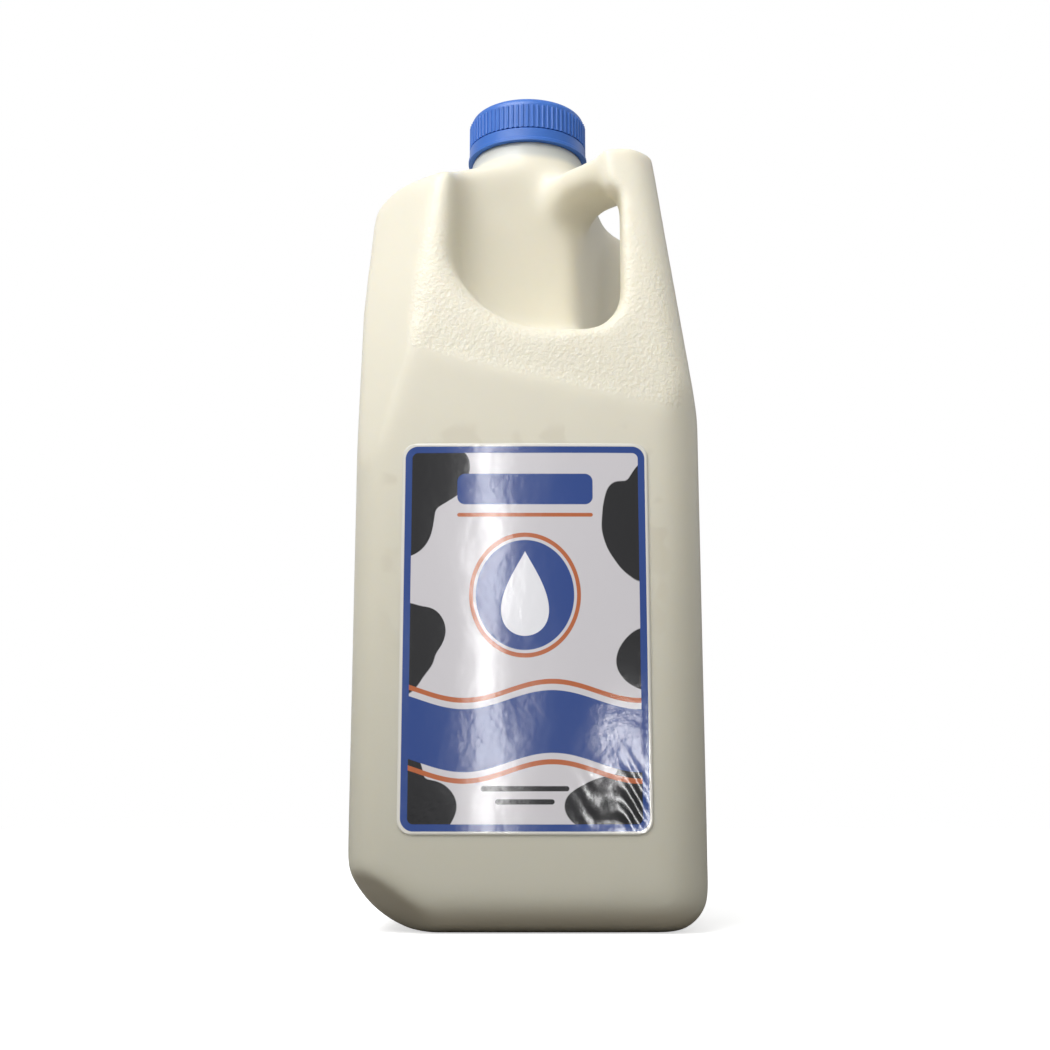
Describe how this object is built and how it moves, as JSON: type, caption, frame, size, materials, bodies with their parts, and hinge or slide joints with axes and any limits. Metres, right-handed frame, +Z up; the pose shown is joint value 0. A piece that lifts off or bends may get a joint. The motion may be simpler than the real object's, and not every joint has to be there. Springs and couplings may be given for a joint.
{
  "type": "plastic milk jug",
  "caption": "Square half-gallon plastic milk jug with a corner handle, hand recess, blue ribbed screw cap, tamper band and cow-patch front label.",
  "frame": {"origin": "centre of the base, on the surface that the jug stands on", "axes": "+Z up along the neck, -Y out of the labelled front, the handle at the +X -Y corner"},
  "size_m": [0.1005, 0.1008, 0.2575],
  "materials": {
    "milky_plastic": "satin translucent polyethylene filled with milk, lightly textured around the hand recess",
    "cap_plastic": "satin moulded polyethylene",
    "label_film": "glossy printed film"
  },
  "bodies": {
    "root": {"jug_body": "milky_plastic", "cap": "cap_plastic", "tamper_band": "cap_plastic", "label": "label_film"}
  },
  "joints": []
}
